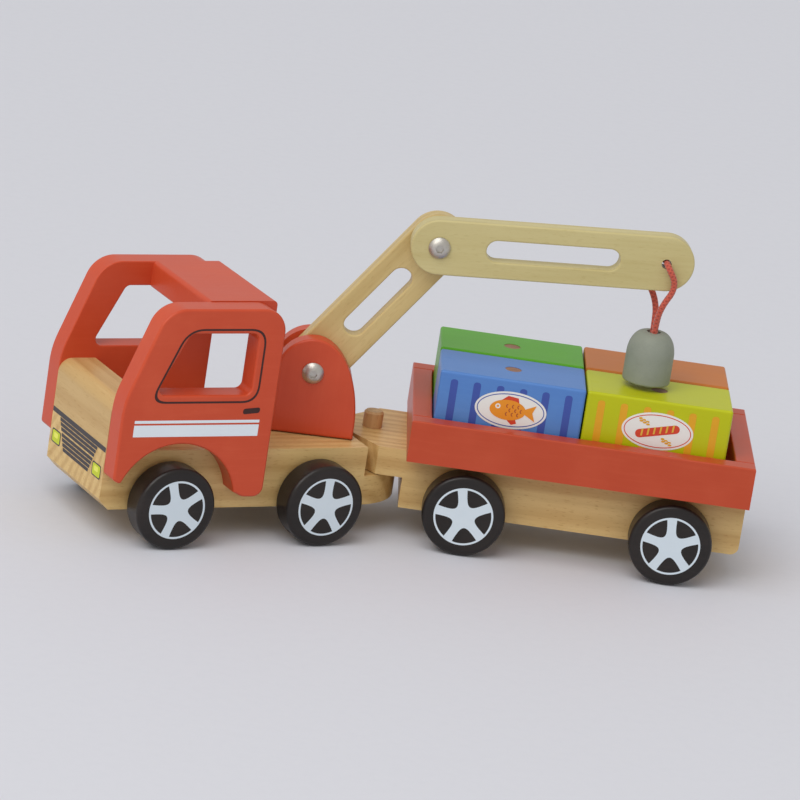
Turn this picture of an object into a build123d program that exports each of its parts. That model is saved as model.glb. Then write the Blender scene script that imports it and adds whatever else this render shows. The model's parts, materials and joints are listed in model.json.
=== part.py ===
from build123d import *

import os
from math import cos, radians, sin, tan

os.makedirs("parts", exist_ok=True)

# Wooden toy crane truck with a coupled trailer and four container blocks, in millimetres.
# Everything is laid out with the trailer along +X (its tail at +X), the ground at Z = 0 and the
# trailer's front axle over X = 0. The last lines shift it to the middle of the whole toy's footprint.

# Wheels and axles
WHEEL_RADIUS = 20.0
WHEEL_THICK = 14.0
WHEEL_INNER_Y = 33.0
WHEEL_EDGE = 2.2
HUB_DISH = 0.6
AXLE_RADIUS = 2.5
AXLE_BORE = 2.58
AXLE_END_SHY = 1.0

# Chassis blocks, the same section on truck and trailer
CHASSIS_HALF = 31.0
CHASSIS_LOW = 15.0
CHASSIS_TOP = 44.0
LAP_LEVEL = 29.5
LAP_GAP = 0.5
SOFT_EDGE = 1.0

# Hitch: the trailer's half-thickness drawbar lies on the truck's half-thickness tongue
HITCH_X = -48.0
TRUCK_TURN = 27.4
PEG_RADIUS = 4.75
PEG_HOLE = 4.84
PEG_TOP = 52.0
TONGUE_CENTRE = -19.0
DRAWBAR_NOSE = 16.0
DRAWBAR_NOSE_HALF = 6.4
DRAWBAR_SHOULDER = -3.7

# Truck, lengths measured along the truck from the hitch peg (negative is forwards)
TRUCK_FRONT = -155.5
TRUCK_BACK = -17.6
TRUCK_REAR_AXLE = -44.6
TRUCK_FRONT_AXLE = -122.7
CHIN_CHAMFER = 5.0
HOOD_BACK = -136.0
HOOD_TOP = 69.0
HOOD_ROUND = 6.5

# Cab sides and roof
PANEL_THICK = 12.0
PANEL_TOP = 117.0
PANEL_BACK = -77.0
PANEL_CHIN = 31.5
PANEL_LEG = 24.3
PANEL_EDGE = 1.2
ARCH_RADIUS = 31.0
PILLAR_FOOT = 71.0
PILLAR_TOP_X = -138.8
PILLAR_TOP_ROUND = 14.0
ROOF_FRONT = -113.4
ROOF_THICK = 13.0
ROOF_RISE = 0.4
WINDOW_BACK = -90.5
WINDOW_LOW = 75.0
WINDOW_HIGH = 105.0
WINDOW_FRONT_LOW = -140.2
WINDOW_FRONT_HIGH = -125.6

# Crane, lengths along the boom from the slewing axis
SLEW_X = -39.0
CRANE_TURN = -23.4
BASE_LOW = 44.5
BASE_HALF = 13.25
BASE_FRONT = -16.5
BASE_BACK = 24.5
SHOULDER_X = 1.0
SHOULDER_Z = 75.4
BASE_NOSE_RADIUS = 17.5
BASE_FOOT_Z = 50.0
SLOT_HALF = 4.75
SLOT_FLOOR = 56.0
SLEW_PEG_RADIUS = 4.0
SLEW_PEG_HOLE = 4.09
SLEW_PEG_LOW = 27.0
SLEW_PEG_HIGH = 54.0

# Booms
BOOM_WIDTH = 27.0
BOOM_THICK = 9.0
BOOM_GAP = 0.3
BOOM_EDGE = 0.9
LOWER_LENGTH = 85.7
LOWER_PITCH = 53.8
LOWER_SLOT_CENTRE = 45.0
LOWER_SLOT_LENGTH = 42.0
UPPER_LENGTH = 108.6
UPPER_PITCH = 3.1
UPPER_SLOT_CENTRE = 54.5
UPPER_SLOT_LENGTH = 64.0
SLOT_WIDTH = 10.5
CORD_HOLE = 2.4

# Pivot bolts
BOLT_RADIUS = 2.5
BOLT_HOLE = 2.58
HEAD_RADIUS = 5.2
HEAD_HEIGHT = 2.8
HEAD_FLAT = 0.8

# Hook: cord loop, dome holder and magnet
CORD_RADIUS = 1.5
HOLDER_RADIUS = 11.5
HOLDER_HEIGHT = 24.7
HOLDER_STRAIGHT = 13.5
HOLDER_CROWN = 4.6
HOOK_LOW = 90.5
MAGNET_RADIUS = 7.5
MAGNET_THICK = 4.0
MAGNET_PROUD = 0.3
WELL_RADIUS = 3.3
WELL_DEPTH = 11.0
STRAND_OFFSET = 1.6
STRAND_SIDE = 6.5
STRAND_JOIN_SIDE = 6.3
STRAND_JOIN_RISE = 12.5
STRAND_BULGE = 5.5
BULGE_DROP = 9.5
HOLE_BEND = 3.0

# Trailer
TRAILER_FRONT = -31.0
TRAILER_BACK = 134.0
TRAILER_WHEELBASE = 99.9
TAIL_ROUND = 4.0
TRAY_HALF = 49.0
TRAY_WALL = 9.5
TRAY_TOP = 64.5
TRAY_FLOOR = 6.0

# Containers
BLOCK_LENGTH = 70.0
BLOCK_DEPTH = 37.0
BLOCK_HEIGHT = 38.0
BLOCK_EDGE = 1.3
BLOCK_FRONT = -20.9
BLOCK_GAP = 0.7
ROW_OUTER = 38.0
DISC_RADIUS = 4.0
DISC_THICK = 2.0
DISC_SUNK = 0.2

# Fineness of the mesh that the footprint is measured on
MESH_STEP = 0.02


def block(x0, x1, y0, y1, z0, z1):
    """A box between two corners."""
    return Pos((x0 + x1) / 2, (y0 + y1) / 2, (z0 + z1) / 2) * Box(x1 - x0, y1 - y0, z1 - z0)


def across(radius, y0, y1, x=0.0, z=0.0):
    """A round bar along Y."""
    return Pos(x, (y0 + y1) / 2, z) * Rot(90, 0, 0) * Cylinder(radius, y1 - y0)


def upright(radius, z0, z1, x=0.0, y=0.0):
    """A round bar along Z."""
    return Pos(x, y, (z0 + z1) / 2) * Cylinder(radius, z1 - z0)


def plate(outline, y0, y1):
    """A flat plate whose outline is a sketch of X and Z, between two Y levels."""
    return Pos(0, y1, 0) * Rot(90, 0, 0) * extrude(outline, y1 - y0)


TRUCK = Pos(HITCH_X, 0, 0) * Rot(0, 0, TRUCK_TURN)
CRANE = TRUCK * Pos(SLEW_X, 0, 0) * Rot(0, 0, CRANE_TURN)


def wheel(side):
    """One turned wheel, its hub face outwards on the given side (-1 is -Y)."""
    disc = across(WHEEL_RADIUS, WHEEL_INNER_Y, WHEEL_INNER_Y + WHEEL_THICK)
    disc = fillet(disc.edges().filter_by(GeomType.CIRCLE), WHEEL_EDGE)
    outer = WHEEL_INNER_Y + WHEEL_THICK
    disc -= across(AXLE_RADIUS, WHEEL_INNER_Y - 1, outer - AXLE_END_SHY * 3)
    return disc if side > 0 else mirror(disc, Plane.XZ)


def axle():
    """The dowel that carries two wheels, its ends hidden inside them."""
    reach = WHEEL_INNER_Y + WHEEL_THICK - AXLE_END_SHY * 3
    return across(AXLE_RADIUS, -reach, reach)


def axle_set(name, place, x):
    """An axle dowel and its two wheels."""
    seat = place * Pos(x, 0, WHEEL_RADIUS)
    return {
        name + "_axle": seat * axle(),
        name + "_wheel_left": seat * wheel(-1),
        name + "_wheel_right": seat * wheel(1),
    }


def truck_chassis():
    """The main block, its tongue for the hitch and its holes."""
    body = block(TRUCK_FRONT, TRUCK_BACK, -CHASSIS_HALF, CHASSIS_HALF, CHASSIS_LOW, CHASSIS_TOP)
    chin = body.edges().filter_by(Axis.Y).group_by(Axis.X)[0].sort_by(Axis.Z)[0]
    body = chamfer(chin, CHIN_CHAMFER)
    tongue = block(TRUCK_BACK - 30, TRUCK_BACK + 1, -CHASSIS_HALF, CHASSIS_HALF, CHASSIS_LOW, LAP_LEVEL)
    tongue += upright(CHASSIS_HALF, CHASSIS_LOW, LAP_LEVEL, TONGUE_CENTRE)
    tongue -= block(TRUCK_BACK, TRUCK_BACK + 1.5, -CHASSIS_HALF - 1, CHASSIS_HALF + 1, 0, CHASSIS_TOP) - upright(
        CHASSIS_HALF, 0, CHASSIS_TOP + 1, TONGUE_CENTRE
    )
    body += tongue
    for x in (TRUCK_FRONT_AXLE, TRUCK_REAR_AXLE):
        body -= across(AXLE_BORE, -CHASSIS_HALF - 1, CHASSIS_HALF + 1, x, WHEEL_RADIUS)
    body -= upright(SLEW_PEG_HOLE, SLEW_PEG_LOW - 0.5, CHASSIS_TOP + 1, SLEW_X)
    body -= upright(PEG_RADIUS, CHASSIS_LOW + 2, LAP_LEVEL + 1)
    return body


def hood_block():
    """The wooden bonnet between the cab sides, rounded over its front top edge."""
    hood = block(TRUCK_FRONT, HOOD_BACK, -CHASSIS_HALF, CHASSIS_HALF, CHASSIS_TOP, HOOD_TOP)
    top = hood.edges().filter_by(Axis.Y).group_by(Axis.Z)[-1].sort_by(Axis.X)
    hood = fillet(top[0], HOOD_ROUND)
    top = hood.edges().filter_by(Axis.Y).group_by(Axis.Z)[-1].sort_by(Axis.X)
    return fillet(top[-1], 1.5)


def panel_outline():
    """Outline of a cab side in X and Z: raked pillar, wheel arch and a leg behind the wheel."""
    back = PANEL_BACK
    with BuildSketch() as face:
        with BuildLine():
            arch_z = PANEL_CHIN - WHEEL_RADIUS
            front_x = TRUCK_FRONT_AXLE - (ARCH_RADIUS**2 - arch_z**2) ** 0.5
            leg_z = PANEL_LEG + 2.5
            leg_x = TRUCK_FRONT_AXLE + (ARCH_RADIUS**2 - (leg_z - WHEEL_RADIUS) ** 2) ** 0.5
            ThreePointArc(
                (front_x, PANEL_CHIN),
                (TRUCK_FRONT_AXLE, WHEEL_RADIUS + ARCH_RADIUS),
                (leg_x, leg_z),
            )
            Polyline(
                (leg_x, leg_z),
                (leg_x + 5, PANEL_LEG),
                (back, PANEL_LEG),
                (back, PANEL_TOP),
                (PILLAR_TOP_X, PANEL_TOP),
                (TRUCK_FRONT, PILLAR_FOOT),
                (TRUCK_FRONT, PANEL_CHIN + 2),
                (front_x, PANEL_CHIN),
            )
        make_face()
        corner = face.vertices()
        fillet(corner.sort_by_distance((back, PANEL_TOP))[0], 12)
        corner = face.vertices()
        fillet(corner.sort_by_distance((back, PANEL_LEG))[0], 5)
        corner = face.vertices()
        fillet(corner.sort_by_distance((leg_x + 5, PANEL_LEG))[0], 7)
        corner = face.vertices()
        fillet(corner.sort_by_distance((PILLAR_TOP_X, PANEL_TOP))[0], PILLAR_TOP_ROUND)
        corner = face.vertices()
        fillet(corner.sort_by_distance((TRUCK_FRONT, PILLAR_FOOT))[0], 40)
        corner = face.vertices()
        fillet(corner.sort_by_distance((front_x, PANEL_CHIN))[0], 1.5)
        corner = face.vertices()
        fillet(corner.sort_by_distance((TRUCK_FRONT, PANEL_CHIN + 2))[0], 2)
    return face.sketch


def window_outline():
    """The side window's opening, with its raked front edge."""
    with BuildSketch() as face:
        Polygon(
            (WINDOW_FRONT_LOW, WINDOW_LOW),
            (WINDOW_BACK, WINDOW_LOW),
            (WINDOW_BACK, WINDOW_HIGH),
            (WINDOW_FRONT_HIGH, WINDOW_HIGH),
            align=None,
        )
        fillet(face.vertices(), 3.5)
    return face.sketch


def cab_side(side):
    """One cab side with softened edges, on the -Y side or the +Y side."""
    inner, outer = CHASSIS_HALF, CHASSIS_HALF + PANEL_THICK
    slab = plate(panel_outline() - window_outline(), inner, outer)
    rim = slab.faces().sort_by(Axis.Y)[-1].edges()
    slab = fillet(rim, PANEL_EDGE)
    rim = slab.faces().sort_by(Axis.Y)[0].edges()
    slab = fillet(rim, PANEL_EDGE / 2)
    return slab if side > 0 else mirror(slab, Plane.XZ)


def cab_roof():
    """The roof board between the cab sides, square behind and softened above."""
    top = PANEL_TOP + ROOF_RISE
    board = block(ROOF_FRONT, PANEL_BACK - 0.3, -CHASSIS_HALF, CHASSIS_HALF, top - ROOF_THICK, top)
    board = fillet(board.edges().filter_by(Axis.Y).group_by(Axis.Z)[-1], 2.2)
    return fillet(board.edges().filter_by(Axis.Y).group_by(Axis.Z)[0], 1.0)


def hitch_peg():
    """The dowel glued in the tongue that the drawbar drops over."""
    peg = upright(PEG_RADIUS, CHASSIS_LOW + 2, PEG_TOP)
    return chamfer(peg.edges().group_by(Axis.Z)[-1], 0.9)


def base_outline():
    """Crane base in side view: upright front, round nose over the pivot, quarter-ellipse back."""
    high = SHOULDER_Z + BASE_NOSE_RADIUS - 0.9
    with BuildSketch() as face:
        with BuildLine():
            nose = Line((BASE_FRONT, BASE_LOW), (BASE_FRONT, SHOULDER_Z - 0.9))
            EllipticalCenterArc(
                (SHOULDER_X, SHOULDER_Z - 0.9), SHOULDER_X - BASE_FRONT, BASE_NOSE_RADIUS, 90, arc_size=90
            )
            EllipticalCenterArc(
                (SHOULDER_X, BASE_FOOT_Z), BASE_BACK - SHOULDER_X, high - BASE_FOOT_Z, 0, arc_size=90
            )
            Polyline((BASE_BACK, BASE_FOOT_Z), (BASE_BACK, BASE_LOW), nose @ 0)
        make_face()
    return face.sketch


def crane_base():
    """The turning block with a slot for the boom, a cross hole and a socket for its peg."""
    body = plate(base_outline(), -BASE_HALF, BASE_HALF)
    side_rims = body.faces().sort_by(Axis.Y)[0].edges() + body.faces().sort_by(Axis.Y)[-1].edges()
    body = fillet(side_rims, 1.2)
    body -= block(-60, 60, -SLOT_HALF, SLOT_HALF, SLOT_FLOOR, 120)
    body -= across(BOLT_RADIUS, -BASE_HALF - 1, BASE_HALF + 1, SHOULDER_X, SHOULDER_Z)
    return body - upright(SLEW_PEG_RADIUS, BASE_LOW - 1, SLEW_PEG_HIGH)


def slew_peg():
    """The dowel under the crane base that turns in the chassis."""
    peg = upright(SLEW_PEG_RADIUS, SLEW_PEG_LOW, SLEW_PEG_HIGH)
    return chamfer(peg.edges().group_by(Axis.Z)[0], 0.6)


def boom(length, slot_centre, slot_length, y0, y1, end_hole):
    """A flat boom along +X from its pivot: round ends, a long slot and a hole at each end."""
    with BuildSketch() as face:
        with Locations((length / 2, 0)):
            SlotCenterToCenter(length, BOOM_WIDTH)
        with Locations((slot_centre, 0)):
            SlotOverall(slot_length, SLOT_WIDTH, mode=Mode.SUBTRACT)
    bar = plate(face.sketch, y0, y1)
    rims = bar.faces().sort_by(Axis.Y)[0].edges() + bar.faces().sort_by(Axis.Y)[-1].edges()
    bar = fillet(rims, BOOM_EDGE)
    bar -= across(BOLT_HOLE, y0 - 1, y1 + 1)
    return bar - across(end_hole, y0 - 1, y1 + 1, length)


def tilted(pitch, x, z):
    """Place of something turned up by a pitch about Y at a point of the crane's own plane."""
    return Pos(x, 0, z) * Rot(0, -pitch, 0)


ELBOW_X = SHOULDER_X + LOWER_LENGTH * cos(radians(LOWER_PITCH))
ELBOW_Z = SHOULDER_Z + LOWER_LENGTH * sin(radians(LOWER_PITCH))
TIP_X = ELBOW_X + UPPER_LENGTH * cos(radians(UPPER_PITCH))
TIP_Z = ELBOW_Z + UPPER_LENGTH * sin(radians(UPPER_PITCH))
UPPER_FAR = -BOOM_THICK / 2 - BOOM_GAP
UPPER_NEAR = UPPER_FAR - BOOM_THICK
UPPER_MID = (UPPER_FAR + UPPER_NEAR) / 2


def domed_cap(bore, depth):
    """A pan head standing on Z = 0 with its crown up, and a blind bore of a given depth below."""
    with BuildSketch(Plane.XZ) as half:
        with BuildLine():
            Polyline((bore, 0), (HEAD_RADIUS, 0), (HEAD_RADIUS, 0.7))
            ThreePointArc((HEAD_RADIUS, 0.7), (HEAD_RADIUS * 0.68, 2.1), (HEAD_FLAT, HEAD_HEIGHT))
            Polyline((HEAD_FLAT, HEAD_HEIGHT), (0, HEAD_HEIGHT), (0, depth), (bore, depth), (bore, 0))
        make_face()
    return revolve(half.sketch, Axis.Z)


def pivot_bolt(y_head, y_end):
    """A bolt along Y, its head towards -Y, with a hexagon socket in the crown."""
    bolt = domed_cap(BOLT_RADIUS, 0.5) + upright(BOLT_RADIUS, y_head - y_end, 0.5)
    bolt -= Pos(0, 0, HEAD_HEIGHT - 1.4) * extrude(RegularPolygon(2.1, 6), 2)
    return Pos(0, y_head, 0) * Rot(90, 0, 0) * bolt


def pivot_nut(y_face, y_end):
    """The domed cap that closes a pivot bolt at its +Y end."""
    return Pos(0, y_face, 0) * Rot(-90, 0, 0) * domed_cap(BOLT_RADIUS, y_end - y_face)


def crane_parts():
    """The slewing base, the two booms and their pivots, placed in the crane's own frame."""
    shoulder = Pos(SHOULDER_X, 0, SHOULDER_Z)
    elbow = Pos(ELBOW_X, 0, ELBOW_Z)
    half = BOOM_THICK / 2
    lower = boom(LOWER_LENGTH, LOWER_SLOT_CENTRE, LOWER_SLOT_LENGTH, -half, half, BOLT_RADIUS)
    upper = boom(UPPER_LENGTH, UPPER_SLOT_CENTRE, UPPER_SLOT_LENGTH, UPPER_NEAR, UPPER_FAR, CORD_HOLE)
    return {
        "crane_base": crane_base(),
        "slew_peg": slew_peg(),
        "shoulder_bolt": shoulder * pivot_bolt(-BASE_HALF, BASE_HALF + 1.2),
        "shoulder_nut": shoulder * pivot_nut(BASE_HALF, BASE_HALF + 1.2),
        "lower_boom": tilted(LOWER_PITCH, SHOULDER_X, SHOULDER_Z) * lower,
        "upper_boom": tilted(UPPER_PITCH, ELBOW_X, ELBOW_Z) * upper,
        "elbow_bolt": elbow * pivot_bolt(UPPER_NEAR - BOOM_GAP / 2, half + 1.2),
        "elbow_nut": elbow * pivot_nut(half, half + 1.2),
    }


def cord_route():
    """Corner points of the cord loop about the hook's own axis, from one end to the other."""
    well = HOOK_LOW + MAGNET_PROUD + HOLDER_HEIGHT - WELL_DEPTH
    exit_z = HOOK_LOW + MAGNET_PROUD + HOLDER_HEIGHT + 1.0
    join_z = exit_z + STRAND_JOIN_RISE
    bulge_z = TIP_Z - BULGE_DROP
    near_strand = [
        (0, -STRAND_OFFSET, well),
        (0, -STRAND_OFFSET, exit_z),
        (0, -STRAND_JOIN_SIDE, join_z),
        (STRAND_BULGE, -STRAND_SIDE, bulge_z),
        (0, -STRAND_SIDE, TIP_Z),
    ]
    far_strand = [(-0.8 * x, -y, z) for x, y, z in near_strand]
    return near_strand + far_strand[::-1]


def bend_radii(points, tight):
    """The largest smooth bend at each inner corner, kept tight where the cord turns into its hole."""
    radii = []
    for i in range(1, len(points) - 1):
        before = Vector(*points[i]) - Vector(*points[i - 1])
        after = Vector(*points[i + 1]) - Vector(*points[i])
        turn = radians(before.get_angle(after))
        room = 0.45 * min(before.length, after.length) / tan(turn / 2)
        radii.append(min(room, HOLE_BEND) if i in tight else min(room, 40.0))
    return radii


def hook_cord():
    """The cord: both ends in the holder's well, the loop through the boom's hole."""
    points = cord_route()
    radii = bend_radii(points, (4, 5))
    path = FilletPolyline(*points, radius=radii)
    start = Plane(origin=path @ 0, z_dir=path % 0)
    rope = sweep(start * Circle(CORD_RADIUS), path=path)
    print("cord bend radii", [round(r, 1) for r in radii], "length", round(path.length, 1))
    print("cord volume", round(rope.volume, 1), "of", round(path.length * Circle(CORD_RADIUS).area, 1))
    return rope


def magnet_holder():
    """The dome over the magnet, with a well in its crown for the cord's ends."""
    low = HOOK_LOW + MAGNET_PROUD
    high = low + HOLDER_HEIGHT
    shoulder = low + HOLDER_STRAIGHT
    with BuildSketch(Plane.XZ) as half:
        with BuildLine():
            Polyline((0, low), (HOLDER_RADIUS, low), (HOLDER_RADIUS, shoulder))
            EllipticalCenterArc(
                (HOLDER_CROWN, shoulder), HOLDER_RADIUS - HOLDER_CROWN, high - shoulder, 0, arc_size=90
            )
            Polyline((HOLDER_CROWN, high), (0, high), (0, low))
        make_face()
    dome = revolve(half.sketch, Axis.Z)
    dome = fillet(dome.edges().group_by(Axis.Z)[0], 1.0)
    dome -= upright(MAGNET_RADIUS, low - 1, low - MAGNET_PROUD + MAGNET_THICK)
    return dome - upright(WELL_RADIUS, high - WELL_DEPTH, high + 1)


def hook_parts():
    """Cord, holder and magnet, about the hook's own upright axis."""
    magnet = upright(MAGNET_RADIUS, HOOK_LOW, HOOK_LOW + MAGNET_THICK)
    magnet = chamfer(magnet.edges().group_by(Axis.Z)[0], 0.25)
    return {"hook_cord": hook_cord(), "magnet_holder": magnet_holder(), "magnet": magnet}


def trailer_chassis():
    """The trailer's block with its drawbar, the upper half carried forwards over the tongue."""
    body = block(TRAILER_FRONT, TRAILER_BACK, -CHASSIS_HALF, CHASSIS_HALF, CHASSIS_LOW, CHASSIS_TOP)
    tail = body.edges().filter_by(Axis.Y).group_by(Axis.X)[-1].sort_by(Axis.Z)[0]
    body = fillet(tail, TAIL_ROUND)
    nose = HITCH_X - DRAWBAR_NOSE
    corner = HITCH_X - DRAWBAR_SHOULDER
    outline = Polygon(
        (nose, -DRAWBAR_NOSE_HALF),
        (corner, -CHASSIS_HALF),
        (TRAILER_FRONT + 10, -CHASSIS_HALF),
        (TRAILER_FRONT + 10, CHASSIS_HALF),
        (corner, CHASSIS_HALF),
        (nose, DRAWBAR_NOSE_HALF),
        align=None,
    )
    low = LAP_LEVEL + LAP_GAP
    drawbar = Pos(0, 0, low) * extrude(outline, CHASSIS_TOP - low)
    body += drawbar
    for x in (0.0, TRAILER_WHEELBASE):
        body -= across(AXLE_BORE, -CHASSIS_HALF - 1, CHASSIS_HALF + 1, x, WHEEL_RADIUS)
    return body - upright(PEG_HOLE, low - 1, CHASSIS_TOP + 1, HITCH_X)


def board(x0, x1, y0, y1):
    """One tray board, softened along its top and outside edges."""
    wood = block(x0, x1, y0, y1, CHASSIS_TOP, TRAY_TOP)
    return fillet(wood.edges().group_by(Axis.Z)[-1], 0.8)


def tray_parts():
    """The tray: a floor inside two long side boards and two end boards."""
    x0, x1 = TRAILER_FRONT, TRAILER_BACK
    inner = TRAY_HALF - TRAY_WALL
    top = CHASSIS_TOP + TRAY_FLOOR
    return {
        "tray_floor": block(x0 + TRAY_WALL, x1 - TRAY_WALL, -inner, inner, CHASSIS_TOP, top),
        "tray_side_left": board(x0, x1, -TRAY_HALF, -inner),
        "tray_side_right": board(x0, x1, inner, TRAY_HALF),
        "tray_front_board": board(x0, x0 + TRAY_WALL, -inner, inner),
        "tray_rear_board": board(x1 - TRAY_WALL, x1, -inner, inner),
    }


def container(name, x, y):
    """One container block and the steel disc let into its top."""
    low = CHASSIS_TOP + TRAY_FLOOR
    high = low + BLOCK_HEIGHT
    body = block(x, x + BLOCK_LENGTH, y, y + BLOCK_DEPTH, low, high)
    body = fillet(body.edges(), BLOCK_EDGE)
    cx, cy = x + BLOCK_LENGTH / 2, y + BLOCK_DEPTH / 2
    body -= upright(DISC_RADIUS, high - DISC_THICK - DISC_SUNK, high + 1, cx, cy)
    disc = upright(DISC_RADIUS, high - DISC_THICK - DISC_SUNK, high - DISC_SUNK, cx, cy)
    return {"container_" + name: body, name + "_steel_disc": disc}


def build():
    """Every named piece, with the trailer along X."""
    parts = {}
    truck = {
        "truck_chassis": truck_chassis(),
        "hood_block": hood_block(),
        "cab_side_left": cab_side(-1),
        "cab_side_right": cab_side(1),
        "cab_roof": cab_roof(),
        "hitch_peg": hitch_peg(),
    }
    parts.update({name: TRUCK * shape for name, shape in truck.items()})
    parts.update(axle_set("truck_front", TRUCK, TRUCK_FRONT_AXLE))
    parts.update(axle_set("truck_rear", TRUCK, TRUCK_REAR_AXLE))
    parts.update({name: CRANE * shape for name, shape in crane_parts().items()})
    hook = CRANE * Pos(TIP_X, UPPER_MID, 0)
    parts.update({name: hook * shape for name, shape in hook_parts().items()})
    parts["trailer_chassis"] = trailer_chassis()
    parts.update(tray_parts())
    parts.update(axle_set("trailer_front", Pos(0, 0, 0), 0.0))
    parts.update(axle_set("trailer_rear", Pos(0, 0, 0), TRAILER_WHEELBASE))
    second = BLOCK_FRONT + BLOCK_LENGTH + BLOCK_GAP
    parts.update(container("blue", BLOCK_FRONT, -ROW_OUTER))
    parts.update(container("yellow", second, -ROW_OUTER))
    parts.update(container("green", BLOCK_FRONT, ROW_OUTER - BLOCK_DEPTH))
    parts.update(container("orange", second, ROW_OUTER - BLOCK_DEPTH))
    return parts


def footprint_centre(shapes):
    """Middle of the whole toy's footprint, from the corners of its meshed surfaces."""
    points = [point for shape in shapes for point in shape.tessellate(MESH_STEP)[0]]
    xs = [point.X for point in points]
    ys = [point.Y for point in points]
    print("toy spans", [round(v, 3) for v in (min(xs), max(xs), min(ys), max(ys))])
    return (min(xs) + max(xs)) / 2, (min(ys) + max(ys)) / 2


pieces = build()
mid_x, mid_y = footprint_centre(pieces.values())
print("footprint centre", round(mid_x, 4), round(mid_y, 4))
for name, shape in pieces.items():
    export_step(Pos(-mid_x, -mid_y, 0) * shape, f"parts/{name}.step")
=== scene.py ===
import json
import math

import bmesh
import bpy
from mathutils import Matrix, Vector


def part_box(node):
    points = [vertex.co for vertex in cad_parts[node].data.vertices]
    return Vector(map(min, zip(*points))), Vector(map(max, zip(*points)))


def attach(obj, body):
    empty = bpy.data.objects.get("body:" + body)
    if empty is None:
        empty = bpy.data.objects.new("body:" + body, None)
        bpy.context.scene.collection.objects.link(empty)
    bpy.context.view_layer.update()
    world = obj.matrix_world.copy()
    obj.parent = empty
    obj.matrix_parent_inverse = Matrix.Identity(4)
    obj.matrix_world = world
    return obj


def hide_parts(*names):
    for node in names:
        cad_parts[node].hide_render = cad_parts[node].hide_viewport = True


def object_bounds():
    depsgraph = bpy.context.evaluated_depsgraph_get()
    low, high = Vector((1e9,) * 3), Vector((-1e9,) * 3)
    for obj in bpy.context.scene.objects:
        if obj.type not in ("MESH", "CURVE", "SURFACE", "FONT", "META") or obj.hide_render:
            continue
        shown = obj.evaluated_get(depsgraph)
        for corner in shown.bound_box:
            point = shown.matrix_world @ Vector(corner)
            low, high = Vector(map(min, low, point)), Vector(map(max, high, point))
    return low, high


MM = 0.001
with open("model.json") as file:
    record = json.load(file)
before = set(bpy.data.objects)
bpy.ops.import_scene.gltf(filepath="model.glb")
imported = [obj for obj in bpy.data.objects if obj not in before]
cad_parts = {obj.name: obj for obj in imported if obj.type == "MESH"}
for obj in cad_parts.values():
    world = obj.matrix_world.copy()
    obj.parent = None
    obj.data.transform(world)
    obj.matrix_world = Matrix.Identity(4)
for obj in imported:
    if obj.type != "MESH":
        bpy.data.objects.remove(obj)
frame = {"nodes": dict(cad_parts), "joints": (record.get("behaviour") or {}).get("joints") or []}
cad_low, cad_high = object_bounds()
bpy.context.scene.view_settings.view_transform = "Standard"

JOINTS = {joint["name"]: joint for joint in frame["joints"]}


def joint_place(name):
    """Where a joint sits at rest, in metres."""
    return Vector(JOINTS[name]["pos_m"])


def standing(place, angle=0.0):
    """A frame on the floor under a point, turned about Z."""
    return Matrix.Translation((place.x, place.y, 0)) @ Matrix.Rotation(angle, 4, "Z")


# The three frames that the toy is laid out in: trailer, truck and crane
_truck_axle = Vector(JOINTS["truck_front_spin"]["axis"])
_crane_axle = Vector(JOINTS["shoulder_lift"]["axis"])
TRUCK_ANGLE = math.atan2(-_truck_axle.x, _truck_axle.y)
CRANE_ANGLE = math.atan2(_crane_axle.x, -_crane_axle.y)
TRAILER = standing(joint_place("trailer_front_spin"))
TRUCK = standing(joint_place("hitch_turn"), TRUCK_ANGLE)
CRANE = standing(joint_place("crane_slew"), CRANE_ANGLE)
HOOK = standing(joint_place("hook_swing"), CRANE_ANGLE)
LOWER_PITCH = math.radians(53.8)
UPPER_PITCH = math.radians(3.1)

# ---------------------------------------------------------------- camera and light

CAMERA_YAW, CAMERA_PITCH, CAMERA_ROLL = (math.radians(angle) for angle in (2.2, 16.8, -8.8))
CAMERA_AIM = Vector((-0.002, 0.0, 0.068))
CAMERA_DISTANCE = 2.5
CAMERA_LENS = 236.0


def place_camera():
    """A long lens that looks a little down on the trailer's side, rolled a little."""
    level = Vector((math.cos(CAMERA_YAW), -math.sin(CAMERA_YAW), 0))
    forward = Vector((math.sin(CAMERA_YAW), math.cos(CAMERA_YAW), 0))
    ahead = forward * math.cos(CAMERA_PITCH) - Vector((0, 0, math.sin(CAMERA_PITCH)))
    right = level * math.cos(CAMERA_ROLL) + ahead.cross(level) * math.sin(CAMERA_ROLL)
    down = ahead.cross(right)
    data = bpy.data.cameras.new("studio_camera")
    data.sensor_width = 36.0
    data.lens = CAMERA_LENS
    data.clip_end = 50.0
    camera = bpy.data.objects.new("studio_camera", data)
    bpy.context.scene.collection.objects.link(camera)
    turn = Matrix((right, -down, -ahead)).transposed().to_4x4()
    camera.matrix_world = Matrix.Translation(CAMERA_AIM - ahead * CAMERA_DISTANCE) @ turn
    bpy.context.scene.camera = camera


def window_light():
    """A square studio light high on the trailer's side that points at the toy."""
    place = Vector((-0.9, -1.3, 1.1))
    aim = Vector((0, 0, 0.06))
    data = bpy.data.lights.new("window_light", "AREA")
    data.shape = "SQUARE"
    data.size = 0.9
    data.energy = 4.6
    data.color = (1.0, 0.98, 0.95)
    lamp = bpy.data.objects.new("window_light", data)
    lamp.location = place
    lamp.rotation_euler = (aim - place).to_track_quat("-Z", "Y").to_euler()
    bpy.context.scene.collection.objects.link(lamp)


def sky_light():
    """Wide, soft light from above, behind the viewer's left shoulder."""
    data = bpy.data.lights.new("sky_light", "SUN")
    data.energy = 1.06
    data.angle = math.radians(45)
    lamp = bpy.data.objects.new("sky_light", data)
    lamp.rotation_euler = Vector((0.35, 0.55, -1.0)).to_track_quat("-Z", "Y").to_euler()
    bpy.context.scene.collection.objects.link(lamp)


place_camera()

# ---------------------------------------------------------------- shader building blocks


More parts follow.
